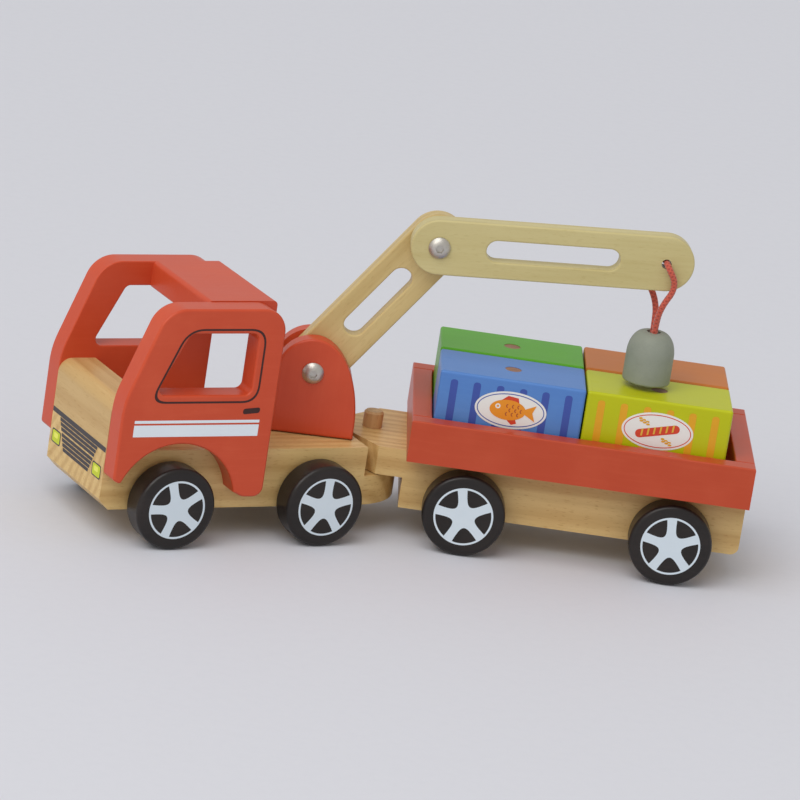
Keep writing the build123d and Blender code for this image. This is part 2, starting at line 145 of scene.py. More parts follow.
def group(name, inputs, outputs):
    """An empty shader group with typed sockets, and its two end nodes."""
    tree = bpy.data.node_groups.new(name, "ShaderNodeTree")
    for label, kind, value in inputs:
        socket = tree.interface.new_socket(label, in_out="INPUT", socket_type=kind)
        if value is not None:
            socket.default_value = value
    for label, kind in outputs:
        tree.interface.new_socket(label, in_out="OUTPUT", socket_type=kind)
    return tree, tree.nodes.new("NodeGroupInput"), tree.nodes.new("NodeGroupOutput")


def math_node(tree, operation, first, second=None, clamp=False):
    """A Math node; its operands are sockets or numbers."""
    node = tree.nodes.new("ShaderNodeMath")
    node.operation = operation
    node.use_clamp = clamp
    for socket, value in zip(node.inputs, (first, second)):
        if isinstance(value, bpy.types.NodeSocket):
            tree.links.new(value, socket)
        elif value is not None:
            socket.default_value = value
    return node.outputs[0]


def scaled(tree, value, factor):
    """A value times a factor, either of them a socket or a number."""
    return math_node(tree, "MULTIPLY", value, factor)


def total(tree, values, clamp=False):
    """The sum of several values; a clamp keeps it between 0 and 1."""
    result = values[0]
    for value in values[1:]:
        result = math_node(tree, "ADD", result, value, clamp=clamp and value is values[-1])
    return result


def mix_colour(tree, amount, first, second, blend="MIX"):
    """A colour Mix node; each of its inputs is a socket, a number or a colour."""
    node = tree.nodes.new("ShaderNodeMix")
    node.data_type = "RGBA"
    node.blend_type = blend
    for socket, value in ((node.inputs[0], amount), (node.inputs[6], first), (node.inputs[7], second)):
        if isinstance(value, bpy.types.NodeSocket):
            tree.links.new(value, socket)
        else:
            socket.default_value = value
    return node.outputs[2]


def noise(tree, vector, scale, detail=4.0, roughness=0.55, distortion=0.0):
    """A noise texture's value."""
    node = tree.nodes.new("ShaderNodeTexNoise")
    tree.links.new(vector, node.inputs["Vector"])
    node.inputs["Scale"].default_value = scale
    node.inputs["Detail"].default_value = detail
    node.inputs["Roughness"].default_value = roughness
    node.inputs["Distortion"].default_value = distortion
    return node.outputs["Fac"]


def stretched(tree, vector, scale):
    """Coordinates scaled differently along each axis."""
    node = tree.nodes.new("ShaderNodeMapping")
    tree.links.new(vector, node.inputs["Vector"])
    node.inputs["Scale"].default_value = scale
    return node.outputs[0]


def ramp(tree, value, low, high):
    """A smooth step of a value between two levels."""
    node = tree.nodes.new("ShaderNodeMapRange")
    node.interpolation_type = "SMOOTHSTEP"
    tree.links.new(value, node.inputs["Value"])
    node.inputs["From Min"].default_value = low
    node.inputs["From Max"].default_value = high
    return node.outputs["Result"]


def timber_group():
    """Sanded, lacquered timber: growth bands, fibres, short dark flecks. The grain runs along X."""
    tree, start, end = group(
        "timber_grain",
        [
            ("Vector", "NodeSocketVector", None),
            ("Light", "NodeSocketColor", (0.6, 0.4, 0.2, 1)),
            ("Dark", "NodeSocketColor", (0.4, 0.25, 0.1, 1)),
            ("Band Strength", "NodeSocketFloat", 0.5),
            ("Fleck Strength", "NodeSocketFloat", 0.4),
        ],
        [("Color", "NodeSocketColor"), ("Roughness", "NodeSocketFloat"), ("Height", "NodeSocketFloat")],
    )
    vector = start.outputs["Vector"]
    wave = tree.nodes.new("ShaderNodeTexWave")
    wave.wave_type = "RINGS"
    wave.rings_direction = "X"
    tree.links.new(stretched(tree, vector, (0.10, 1.0, 0.72)), wave.inputs["Vector"])
    wave.inputs["Scale"].default_value = 62.0
    wave.inputs["Distortion"].default_value = 2.6
    wave.inputs["Detail"].default_value = 3.0
    wave.inputs["Detail Scale"].default_value = 0.6
    bands = ramp(tree, wave.outputs["Fac"], 0.25, 1.0)
    fibres = noise(tree, stretched(tree, vector, (0.06, 1.0, 1.0)), 1500.0, 3.0, 0.6)
    streaks = noise(tree, stretched(tree, vector, (0.05, 1.0, 1.0)), 260.0, 4.0, 0.6, 0.3)
    pores = noise(tree, stretched(tree, vector, (0.14, 1.0, 1.0)), 1900.0, 1.0, 0.4)
    flecks = ramp(tree, pores, 0.60, 0.74)
    broad = noise(tree, vector, 18.0, 2.0)
    tone_parts = [
        scaled(tree, bands, start.outputs["Band Strength"]),
        scaled(tree, ramp(tree, streaks, 0.35, 0.75), 0.40),
        scaled(tree, ramp(tree, broad, 0.3, 0.8), 0.22),
        scaled(tree, fibres, 0.16),
    ]
    tone = total(tree, tone_parts, clamp=True)
    body = mix_colour(tree, tone, start.outputs["Light"], start.outputs["Dark"])
    dark_fleck = mix_colour(tree, 0.75, body, start.outputs["Dark"], "MULTIPLY")
    fleck_amount = scaled(tree, flecks, start.outputs["Fleck Strength"])
    tree.links.new(mix_colour(tree, fleck_amount, body, dark_fleck), end.inputs["Color"])
    dull = total(tree, [scaled(tree, fibres, 0.18), 0.34, scaled(tree, flecks, 0.1)])
    tree.links.new(dull, end.inputs["Roughness"])
    raised = total(tree, [scaled(tree, streaks, 0.5), scaled(tree, fibres, 0.5)])
    height = math_node(tree, "SUBTRACT", raised, scaled(tree, flecks, 0.35))
    tree.links.new(height, end.inputs["Height"])
    return tree


def paint_group():
    """Satin paint brushed on timber: faint grain under it, orange peel and rubbed patches."""
    tree, start, end = group(
        "painted_timber",
        [
            ("Vector", "NodeSocketVector", None),
            ("Paint", "NodeSocketColor", (0.5, 0.1, 0.05, 1)),
            ("Rubbed", "NodeSocketColor", (0.6, 0.2, 0.1, 1)),
        ],
        [("Color", "NodeSocketColor"), ("Roughness", "NodeSocketFloat"), ("Height", "NodeSocketFloat")],
    )
    vector = start.outputs["Vector"]
    grain = noise(tree, stretched(tree, vector, (0.07, 1.0, 1.0)), 520.0, 3.0, 0.6, 0.2)
    peel = noise(tree, vector, 900.0, 2.0, 0.5)
    cloud = noise(tree, vector, 32.0, 4.0, 0.6)
    wear = noise(tree, stretched(tree, vector, (0.5, 1.0, 1.6)), 150.0, 5.0, 0.7, 0.6)
    scuffs = ramp(tree, wear, 0.60, 0.80)
    rub_parts = [
        scaled(tree, ramp(tree, cloud, 0.40, 0.75), 0.42),
        scaled(tree, ramp(tree, grain, 0.45, 0.75), 0.20),
        scaled(tree, scuffs, 0.14),
    ]
    rub = total(tree, rub_parts, clamp=True)
    colour = mix_colour(tree, rub, start.outputs["Paint"], start.outputs["Rubbed"])
    tree.links.new(colour, end.inputs["Color"])
    dull = total(tree, [scaled(tree, cloud, 0.20), 0.28, scaled(tree, scuffs, 0.14)])
    tree.links.new(dull, end.inputs["Roughness"])
    tree.links.new(total(tree, [scaled(tree, grain, 0.65), scaled(tree, peel, 0.35)]), end.inputs["Height"])
    return tree


def speckle_group():
    """Fine mottling and small marks, for metal and moulded surfaces."""
    tree, start, end = group(
        "fine_mottle",
        [
            ("Vector", "NodeSocketVector", None),
            ("Base", "NodeSocketColor", (0.5, 0.5, 0.5, 1)),
            ("Marks", "NodeSocketColor", (0.3, 0.3, 0.3, 1)),
            ("Dullness", "NodeSocketFloat", 0.3),
        ],
        [("Color", "NodeSocketColor"), ("Roughness", "NodeSocketFloat"), ("Height", "NodeSocketFloat")],
    )
    vector = start.outputs["Vector"]
    fine = noise(tree, vector, 1400.0, 3.0, 0.6)
    cloud = noise(tree, vector, 160.0, 4.0, 0.6)
    marks = ramp(tree, fine, 0.55, 0.72)
    amount = total(tree, [scaled(tree, marks, 0.35), scaled(tree, ramp(tree, cloud, 0.4, 0.7), 0.35)])
    colour = mix_colour(tree, amount, start.outputs["Base"], start.outputs["Marks"])
    tree.links.new(colour, end.inputs["Color"])
    dull = total(tree, [start.outputs["Dullness"], scaled(tree, cloud, 0.2)])
    tree.links.new(dull, end.inputs["Roughness"])
    tree.links.new(total(tree, [fine, cloud]), end.inputs["Height"])
    return tree


TIMBER, PAINT, MOTTLE = timber_group(), paint_group(), speckle_group()

BUMP_DEPTH = 0.2 * MM
COAT_ROUGHNESS = 0.18
METAL_SPECULAR, SATIN_SPECULAR = 0.5, 0.30


def finish_material(name, shader_group, values, place=None, bump=0.1, coat=0.0, metallic=0.0):
    """A Principled material fed by one of the groups, with Object coordinates turned along a piece."""
    material = bpy.data.materials.new(name)
    material.use_nodes = True
    tree = material.node_tree
    shader = tree.nodes["Principled BSDF"]
    coordinates = tree.nodes.new("ShaderNodeTexCoord").outputs["Object"]
    if place is not None:
        mapping = tree.nodes.new("ShaderNodeMapping")
        mapping.vector_type = "TEXTURE"
        where, _, _ = place.decompose()
        mapping.inputs["Location"].default_value = where
        mapping.inputs["Rotation"].default_value = place.to_euler("XYZ")
        tree.links.new(coordinates, mapping.inputs["Vector"])
        coordinates = mapping.outputs[0]
    pattern = tree.nodes.new("ShaderNodeGroup")
    pattern.node_tree = shader_group
    tree.links.new(coordinates, pattern.inputs["Vector"])
    for label, value in values.items():
        pattern.inputs[label].default_value = value
    tree.links.new(pattern.outputs["Color"], shader.inputs["Base Color"])
    tree.links.new(pattern.outputs["Roughness"], shader.inputs["Roughness"])
    bump_node = tree.nodes.new("ShaderNodeBump")
    bump_node.inputs["Strength"].default_value = bump
    bump_node.inputs["Distance"].default_value = BUMP_DEPTH
    tree.links.new(pattern.outputs["Height"], bump_node.inputs["Height"])
    tree.links.new(bump_node.outputs[0], shader.inputs["Normal"])
    shader.inputs["Metallic"].default_value = metallic
    shader.inputs["Specular IOR Level"].default_value = METAL_SPECULAR if metallic else SATIN_SPECULAR
    shader.inputs["Coat Weight"].default_value = coat
    shader.inputs["Coat Roughness"].default_value = COAT_ROUGHNESS
    return material


def pitched(frame_matrix, pitch, offset):
    """A frame moved and pitched up about its Y, so that timber grain follows a boom."""
    return frame_matrix @ Matrix.Translation(offset) @ Matrix.Rotation(-pitch, 4, "Y")


# Grain runs along a frame's X: two turns lay it across the toy or upright, and the rest place the
# growth rings in the boards and along the booms
ACROSS = Matrix.Rotation(math.radians(90), 4, "Z")
UPRIGHT = Matrix.Rotation(math.radians(90), 4, "Y")
TRUCK_BOARD = TRUCK @ Matrix.Translation((0, 0.06, 0.09))
HOOD_BOARD = TRUCK @ ACROSS @ Matrix.Translation((0, 0.05, -0.05))
TRAILER_BOARD = TRAILER @ Matrix.Translation((0.05, 0.08, -0.04))
LOWER_BOOM = pitched(CRANE, LOWER_PITCH, (0.001, -0.02, 0.0754))
UPPER_BOOM = pitched(HOOK, UPPER_PITCH, (0.0, 0.018, 0.1504))


def wood(light, dark, bands, flecks):
    """The timber group's values for one kind of board."""
    return {"Light": (*light, 1), "Dark": (*dark, 1), "Band Strength": bands, "Fleck Strength": flecks}


def paint(colour, rubbed):
    """The paint group's values: the full coat and the coat where it is rubbed."""
    return {"Paint": (*colour, 1), "Rubbed": (*rubbed, 1)}


def mottled(base, marks, dullness):
    """The mottle group's values for a metal or moulded surface."""
    return {"Base": (*base, 1), "Marks": (*marks, 1), "Dullness": dullness}


BEECH = wood((0.80, 0.57, 0.24), (0.58, 0.355, 0.125), 0.45, 0.5)
HOOD_BEECH = wood((0.66, 0.45, 0.19), (0.51, 0.30, 0.105), 0.38, 0.25)
LOWER_BIRCH = wood((0.66, 0.51, 0.23), (0.52, 0.37, 0.14), 0.30, 0.22)
UPPER_BIRCH = wood((0.64, 0.56, 0.28), (0.52, 0.43, 0.18), 0.30, 0.20)
DOWEL = wood((0.66, 0.43, 0.20), (0.44, 0.25, 0.10), 0.35, 0.4)
RED = paint((0.60, 0.072, 0.024), (0.68, 0.105, 0.042))
# The tray's red is the cab's red made darker: painted shade on the tray, which has the same paint as the
# cab
TRAY_RED_PAINTED_SHADE = paint((0.50, 0.060, 0.018), (0.57, 0.086, 0.032))
BLACK = paint((0.013, 0.010, 0.009), (0.034, 0.025, 0.022))
STEEL = mottled((0.60, 0.57, 0.52), (0.40, 0.38, 0.34), 0.33)
RUSTY_STEEL = mottled((0.36, 0.17, 0.09), (0.20, 0.09, 0.05), 0.35)
GREY_PLASTIC = mottled((0.27, 0.29, 0.235), (0.215, 0.235, 0.19), 0.45)
NICKEL = mottled((0.55, 0.55, 0.53), (0.42, 0.42, 0.40), 0.2)
BLOCK_PAINTS = {
    "blue": paint((0.088, 0.225, 0.57), (0.118, 0.28, 0.62)),
    "yellow": paint((0.49, 0.52, 0.001), (0.55, 0.57, 0.005)),
    "green": paint((0.098, 0.40, 0.012), (0.135, 0.46, 0.022)),
    "orange": paint((0.55, 0.16, 0.018), (0.62, 0.20, 0.03)),
}

# Name, group, values, where the grain lies, bump strength, coat, metallic
FINISHES = [
    ("truck_beech", TIMBER, BEECH, TRUCK_BOARD, 0.25, 0.12),
    ("hood_beech", TIMBER, HOOD_BEECH, HOOD_BOARD, 0.2, 0.15),
    ("trailer_beech", TIMBER, BEECH, TRAILER_BOARD, 0.25, 0.12),
    ("peg_dowel", TIMBER, DOWEL, TRUCK @ UPRIGHT, 0.25),
    ("truck_axle_dowel", TIMBER, DOWEL, TRUCK @ ACROSS, 0.25),
    ("trailer_axle_dowel", TIMBER, DOWEL, TRAILER @ ACROSS, 0.25),
    ("lower_boom_birch", TIMBER, LOWER_BIRCH, LOWER_BOOM, 0.2, 0.1),
    ("upper_boom_birch", TIMBER, UPPER_BIRCH, UPPER_BOOM, 0.2, 0.1),
    ("cab_red", PAINT, RED, TRUCK, 0.22, 0.10),
    ("crane_red", PAINT, RED, CRANE @ UPRIGHT, 0.22, 0.10),
    # The tray pieces take the darker red: painted shade
    ("tray_red_painted_shade", PAINT, TRAY_RED_PAINTED_SHADE, TRAILER, 0.22, 0.10),
    ("tray_end_red_painted_shade", PAINT, TRAY_RED_PAINTED_SHADE, TRAILER @ ACROSS, 0.22, 0.10),
    ("truck_wheel_black", PAINT, BLACK, TRUCK, 0.25, 0.15),
    ("trailer_wheel_black", PAINT, BLACK, TRAILER, 0.25, 0.15),
    ("bolt_steel", MOTTLE, STEEL, None, 0.12, 0.0, 1.0),
    ("disc_steel", MOTTLE, RUSTY_STEEL, None, 0.2, 0.0, 0.35),
    ("holder_grey", MOTTLE, GREY_PLASTIC, None, 0.12),
    ("magnet_nickel", MOTTLE, NICKEL, None, 0.1, 0.0, 1.0),
]
FINISHES += [(name + "_block", PAINT, values, TRAILER, 0.2, 0.04) for name, values in BLOCK_PAINTS.items()]
MATERIALS = {finish[0]: finish_material(*finish) for finish in FINISHES}


def wheel_nodes(vehicle):
    """The names of a vehicle's four wheels."""
    return [f"{vehicle}_{end}_wheel_{side}" for end in ("front", "rear") for side in ("left", "right")]


NODE_FINISH = {
    "truck_beech": ["truck_chassis"],
    "hood_beech": ["hood_block"],
    "trailer_beech": ["trailer_chassis"],
    "peg_dowel": ["hitch_peg", "slew_peg"],
    "truck_axle_dowel": ["truck_front_axle", "truck_rear_axle"],
    "trailer_axle_dowel": ["trailer_front_axle", "trailer_rear_axle"],
    "lower_boom_birch": ["lower_boom"],
    "upper_boom_birch": ["upper_boom"],
    "cab_red": ["cab_side_left", "cab_side_right", "cab_roof"],
    "crane_red": ["crane_base"],
    "tray_red_painted_shade": ["tray_floor", "tray_side_left", "tray_side_right"],
    "tray_end_red_painted_shade": ["tray_front_board", "tray_rear_board"],
    "truck_wheel_black": wheel_nodes("truck"),
    "trailer_wheel_black": wheel_nodes("trailer"),
    "bolt_steel": ["shoulder_bolt", "shoulder_nut", "elbow_bolt", "elbow_nut"],
    "disc_steel": [colour + "_steel_disc" for colour in BLOCK_PAINTS],
    "holder_grey": ["magnet_holder"],
    "magnet_nickel": ["magnet"],
}
NODE_FINISH.update({colour + "_block": ["container_" + colour] for colour in BLOCK_PAINTS})
for _finish, _nodes in NODE_FINISH.items():
    for _node in _nodes:
        _mesh = frame["nodes"][_node].data
        _mesh.materials.clear()
        _mesh.materials.append(MATERIALS[_finish])

# ---------------------------------------------------------------- the cord

CORD_RADIUS = 1.5 * MM
BRAID_BUMP = 0.4 * MM


def braid_material():
    """Red braided cord: two diagonal sets of strands on the cord's own length and girth."""
    material = bpy.data.materials.new("cord_braid")
    material.use_nodes = True
    tree = material.node_tree
    shader = tree.nodes["Principled BSDF"]
    uv = tree.nodes.new("ShaderNodeTexCoord").outputs["UV"]
    strands = []
    for lean in (1, -1):
        turned = tree.nodes.new("ShaderNodeMapping")
        turned.inputs["Scale"].default_value = (62.0, 4.0 * lean, 1.0)
        tree.links.new(uv, turned.inputs["Vector"])
        wave = tree.nodes.new("ShaderNodeTexWave")
        wave.bands_direction = "DIAGONAL"
        tree.links.new(turned.outputs[0], wave.inputs["Vector"])
        wave.inputs["Scale"].default_value = 0.5
        strands.append(wave.outputs["Fac"])
    weave = math_node(tree, "MAXIMUM", strands[0], strands[1])
    fuzz = noise(tree, tree.nodes.new("ShaderNodeTexCoord").outputs["Object"], 2600.0, 2.0, 0.6)
    # The grooves between strands are coloured darker than the strand crowns: painted shade in the braid
    colour = mix_colour(tree, weave, (0.30, 0.030, 0.018, 1), (0.60, 0.085, 0.045, 1))
    fuzzy = mix_colour(tree, scaled(tree, fuzz, 0.3), colour, (0.66, 0.16, 0.10, 1))
    tree.links.new(fuzzy, shader.inputs["Base Color"])
    tree.links.new(total(tree, [scaled(tree, fuzz, 0.2), 0.62]), shader.inputs["Roughness"])
    bump = tree.nodes.new("ShaderNodeBump")
    bump.inputs["Strength"].default_value = 0.7
    bump.inputs["Distance"].default_value = BRAID_BUMP
    tree.links.new(total(tree, [weave, scaled(tree, fuzz, 0.3)]), bump.inputs["Height"])
    tree.links.new(bump.outputs[0], shader.inputs["Normal"])
    shader.inputs["Sheen Weight"].default_value = 0.3
    return material


def make_cord():
    """The cord: out of the holder's crown, through the boom's hole and back."""
    boom_hole = joint_place("hook_swing").z / MM
    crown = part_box("magnet_holder")[1].z / MM
    near = [
        (0, -1.6, crown - 11.0),
        (0, -1.6, crown + 1.0),
        (0, -6.9, crown + 13.5),
        (6.4, -7.3, boom_hole - 9.5),
        (0, -8.4, boom_hole + 0.6),
    ]
    far = [(-1.25 * x, -y, z) for x, y, z in near]
    route = [HOOK @ (Vector(point) * MM) for point in near + far[::-1]]
    data = bpy.data.curves.new("red_cord", "CURVE")
    data.dimensions = "3D"
    data.bevel_depth = CORD_RADIUS
    data.bevel_resolution = 5
    data.resolution_u = 14
    spline = data.splines.new("NURBS")
    spline.points.add(len(route) - 1)
    for point, place in zip(spline.points, route):
        point.co = (*place, 1.0)
    spline.order_u = 3
    spline.use_endpoint_u = True
    data.materials.append(braid_material())
    cord = bpy.data.objects.new("red_cord", data)
    bpy.context.scene.collection.objects.link(cord)
    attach(cord, "hook")
    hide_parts("hook_cord")


make_cord()

# ---------------------------------------------------------------- printed decoration

# Every print is a thin skin just clear of its face; a layer on top sits one thickness higher
PRINT_RISE = 0.05
PRINT_THICK = 0.04


def ink(name, colour, second=None):
    """Printed ink: slight unevenness from the timber under it."""
    rubbed = second or [min(1, channel * 1.12 + 0.004) for channel in colour]
    return finish_material(name, PAINT, paint(colour, rubbed), None, 0.12, 0.08)


INKS = {
    "white": ink("ink_white", (0.78, 0.85, 0.91), (0.84, 0.89, 0.93)),
    "star": ink("ink_star", (0.66, 0.75, 0.82), (0.72, 0.80, 0.86)),
    "paper": ink("ink_paper", (0.80, 0.80, 0.76), (0.84, 0.84, 0.80)),
    "outline": ink("ink_outline", (0.045, 0.014, 0.012)),
    "soot": ink("ink_soot", (0.045, 0.036, 0.040)),
    "lamp": ink("ink_lamp", (0.58, 0.66, 0.01), (0.66, 0.72, 0.03)),
    "lamp_glint": ink("ink_lamp_glint", (0.86, 0.88, 0.10), (0.90, 0.91, 0.20)),
    "deep_blue": ink("ink_deep_blue", (0.045, 0.085, 0.36)),
    "amber": ink("ink_amber", (0.72, 0.36, 0.012)),
    "deep_green": ink("ink_deep_green", (0.03, 0.17, 0.02)),
    "brick": ink("ink_brick", (0.40, 0.075, 0.02)),
    "orange": ink("ink_orange", (0.78, 0.27, 0.012), (0.85, 0.36, 0.03)),
    "scarlet": ink("ink_scarlet", (0.62, 0.055, 0.02)),
    "straw": ink("ink_straw", (0.70, 0.42, 0.05)),
    "leaf": ink("ink_leaf", (0.10, 0.36, 0.03)),
}


def arc_points(centre, radius, start, end, steps):
    """Points on an arc, angles in degrees."""
    x, y = centre
    rx, ry = radius if isinstance(radius, tuple) else (radius, radius)
    turns = [math.radians(start + (end - start) * i / steps) for i in range(steps + 1)]
    return [(x + rx * math.cos(t), y + ry * math.sin(t)) for t in turns]


def oval(centre, radius, steps=48):
    """A closed ellipse or circle."""
    return arc_points(centre, radius, 0, 360, steps)[:-1]


def rounded(corners, radius, steps=6):
    """A closed outline with every corner rounded by a short curve."""
    outline = []
    for i, corner in enumerate(corners):
        here = Vector(corner)
        before = Vector(corners[i - 1]) - here
        after = Vector(corners[(i + 1) % len(corners)]) - here
        reach = min(radius, 0.48 * before.length, 0.48 * after.length)
        start = here + before.normalized() * reach
        end = here + after.normalized() * reach
        for step in range(steps + 1):
            t = step / steps
            point = start * (1 - t) ** 2 + here * 2 * t * (1 - t) + end * t**2
            outline.append((point.x, point.y))
    return outline


def inset(corners, distance):
    """A convex outline moved inwards by a distance; its corners run anticlockwise."""
    moved = []
    for i, corner in enumerate(corners):
        here = Vector(corner)
        along = (here - Vector(corners[i - 1])).normalized()
        onward = (Vector(corners[(i + 1) % len(corners)]) - here).normalized()
        first, second = Vector((-along.y, along.x)), Vector((-onward.y, onward.x))
        moved.append(tuple(here + (first + second) * (distance / (1 + first.dot(second)))))
    return moved


def bar(x0, x1, y0, y1):
    """A plain rectangle, anticlockwise."""
    return [(x0, y0), (x1, y0), (x1, y1), (x0, y1)]


def print_on(name, body, colour, place, outlines, layer=0):
    """A thin printed shape on a face: closed outlines in millimetres, inner ones become holes."""
    data = bpy.data.curves.new(name + "_outline", "CURVE")
    data.dimensions = "2D"
    data.fill_mode = "BOTH"
    data.extrude = PRINT_THICK / 2
    for outline in outlines:
        spline = data.splines.new("POLY")
        spline.points.add(len(outline) - 1)
        for point, (x, y) in zip(spline.points, outline):
            point.co = (x, y, 0, 1)
        spline.use_cyclic_u = True
    flat = bpy.data.objects.new(name + "_flat", data)
    mesh = bpy.data.meshes.new_from_object(flat)
    bpy.data.objects.remove(flat)
    lift = PRINT_RISE + PRINT_THICK * layer
    mesh.transform(place @ Matrix.Scale(MM, 4) @ Matrix.Translation((0, 0, lift)))
    built = bmesh.new()
    built.from_mesh(mesh)
    bmesh.ops.remove_doubles(built, verts=built.verts, dist=1e-7)
    bmesh.ops.recalc_face_normals(built, faces=built.faces)
    built.to_mesh(mesh)
    built.free()
    mesh.name = name
    mesh.materials.clear()
    mesh.materials.append(INKS[colour])
    piece = bpy.data.objects.new(name, mesh)
    bpy.context.scene.collection.objects.link(piece)
    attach(piece, body)
    return piece


def side_face(frame_matrix, side, y, origin_x=0.0, origin_z=0.0):
    """A face that looks sideways: u runs to the right as it is seen, v runs up."""
    u, n = (1, -1) if side < 0 else (-1, 1)
    turn = Matrix(((u, 0, 0, origin_x * MM), (0, 0, n, y * n * MM), (0, 1, 0, origin_z * MM), (0, 0, 0, 1)))
    return frame_matrix @ turn


WHEEL_FACE_Y = 47.0
STAR_RING, STAR_RIM, STAR_ARMS = 14.3, 13.35, 5
STAR_ARM_HALF = 2.35
# One side of the gap between two arms: radius, and angle from the gap's middle
STAR_GAP_SIDE = [(10.6, 24.2), (9.0, 22.2), (7.6, 19.2), (6.6, 14.8), (5.95, 9.0), (5.7, 3.0)]


def wheel_print(name, body, frame_matrix, centre, turn, side):
    """A white five-armed star in a thin ring on a wheel's outer face."""
    outlines = [oval((0, 0), STAR_RING, 96)]
    step = 360 / STAR_ARMS
    reach = step / 2 - math.degrees(math.asin(STAR_ARM_HALF / STAR_RIM))
    inner = STAR_GAP_SIDE + [(radius, -angle) for radius, angle in reversed(STAR_GAP_SIDE)]
    for arm in range(STAR_ARMS):
        middle = turn + step / 2 + step * arm
        gap = arc_points((0, 0), STAR_RIM, middle - reach, middle + reach, 14)
        for radius, angle in inner:
            direction = math.radians(middle + angle)
            gap.append((radius * math.cos(direction), radius * math.sin(direction)))
        outlines.append(gap)
    place = side_face(frame_matrix, side, WHEEL_FACE_Y, centre.x / MM, centre.z / MM)
    print_on(name, body, "star", place, outlines)


for _axle, _frame, _turn in (
    ("truck_front", TRUCK, 106),
    ("truck_rear", TRUCK, 88),
    ("trailer_front", TRAILER, 100),
    ("trailer_rear", TRAILER, 95),
):
    _centre = _frame.inverted() @ joint_place(_axle + "_spin")
    for _side, _word in ((-1, "left"), (1, "right")):
        wheel_print(f"{_axle}_star_{_word}", _axle + "_wheels", _frame, _centre, _turn, _side)

CAB_FACE_Y = 43.0
CAB_WINDOW = [(-142.8, 71.2), (-86.6, 71.2), (-86.6, 107.6), (-127.6, 107.6)]
DOOR_HANDLE = [(-93.6, 65.6), (-84.9, 66.3), (-84.9, 69.0), (-93.6, 68.3)]
STRIPE_ENDS = (-148.8, -84.4)


def cab_prints(side, word):
    """Window outline, door handle and the double stripe on one side of the cab."""
    place = side_face(TRUCK, side, CAB_FACE_Y)

    def seen(points):
        return [(-x, z) for x, z in points[::-1]] if side > 0 else points

    def print_cab(name, colour, outlines):
        print_on(f"{name}_{word}", "truck", colour, place, outlines)

    window = seen(CAB_WINDOW)
    print_cab("window_outline", "outline", [rounded(window, 8.5, 8), rounded(inset(window, 0.95), 7.8, 8)])
    print_cab("door_stripe_wide", "white", [seen(bar(*STRIPE_ENDS, 54.9, 60.6))])
    print_cab("door_stripe_thin", "white", [seen(bar(*STRIPE_ENDS, 61.5, 62.9))])
    print_cab("door_handle", "outline", [rounded(seen(DOOR_HANDLE), 1.4)])


for _side, _word in ((-1, "left"), (1, "right")):
    cab_prints(_side, _word)

NOSE_X = -155.5
GRILLE_BAR_LOWS = (41.0, 38.9, 36.8, 34.3, 32.2, 30.1, 28.0)
GRILLE_BAR_THICK = 1.7
# The bars widen upwards: half a bar's length at this level, and how much more for each millimetre
GRILLE_LEVEL, GRILLE_HALF, GRILLE_FLARE = 28.9, 15.0, 0.52
HEADLAMP_Y = 23.6


def front_prints():
    """Grille bars, their dark header line and the two headlamps on the chassis nose."""
    turn = Matrix(((0, 0, -1, NOSE_X * MM), (-1, 0, 0, 0), (0, 1, 0, 0), (0, 0, 0, 1)))
    place = TRUCK @ turn

    def print_nose(name, colour, outlines, layer=0):
        print_on(name, "truck", colour, place, outlines, layer)

    print_nose("grille_header", "soot", [bar(-30.7, 30.7, 43.0, 45.4)])
    bars = []
    for low in GRILLE_BAR_LOWS:
        high = low + GRILLE_BAR_THICK
        half = GRILLE_HALF + (low - GRILLE_LEVEL) * GRILLE_FLARE
        bars.append(rounded([(-half, low), (half, low), (half + 0.5, high), (-half - 0.5, high)], 0.3, 2))
    print_nose("grille_bars", "soot", bars)
    for word, middle in (("left", HEADLAMP_Y), ("right", -HEADLAMP_Y)):
        rim = rounded(bar(middle - 4.9, middle + 4.9, 28.6, 35.4), 1.2, 3)
        print_nose(f"headlamp_rim_{word}", "soot", [rim])
        glass = rounded(bar(middle - 4.2, middle + 4.2, 29.2, 34.8), 1.0, 3)
        print_nose(f"headlamp_{word}", "lamp", [glass], 1)
        glint = rounded(bar(middle - 2.4, middle + 2.0, 31.4, 33.8), 0.8, 3)
        print_nose(f"headlamp_glint_{word}", "lamp_glint", [glint], 2)


front_prints()


def fish(put):
    """A small fish: body, tail, fins, scales and an eye."""
    outline = arc_points((-1.4, 0), (8.7, 5.0), 18, 342, 30)
    tail = [(6.6, -1.1), (12.0, -4.2), (10.5, 0.0), (12.0, 3.8), (6.6, 1.3)]
    back_fin = [(-5.6, 3.9), (-2.0, 7.0), (3.0, 6.4), (3.8, 3.4)]
    belly_fin = [(-1.8, -4.5), (1.2, -7.1), (3.6, -6.2), (2.6, -3.8)]
    put("fish_fin", "scarlet", [back_fin, belly_fin], 3)
    put("fish_body", "orange", [outline + tail], 4)
    scales = []
    for row, columns in ((2.0, (-1.4, 1.4, 4.0)), (0.0, (0.0, 2.8, 5.4)), (-2.0, (-1.4, 1.4, 4.0))):
        for x in columns:
            scales.append(arc_points((x, row), 1.05, 100, 260, 6) + arc_points((x, row), 0.55, 260, 100, 6))
    put("fish_scales", "brick", scales, 5)
    put("fish_eye", "paper", [oval((-6.3, 1.4), 1.25, 16), oval((-6.3, 1.4), 0.6, 12)], 5)


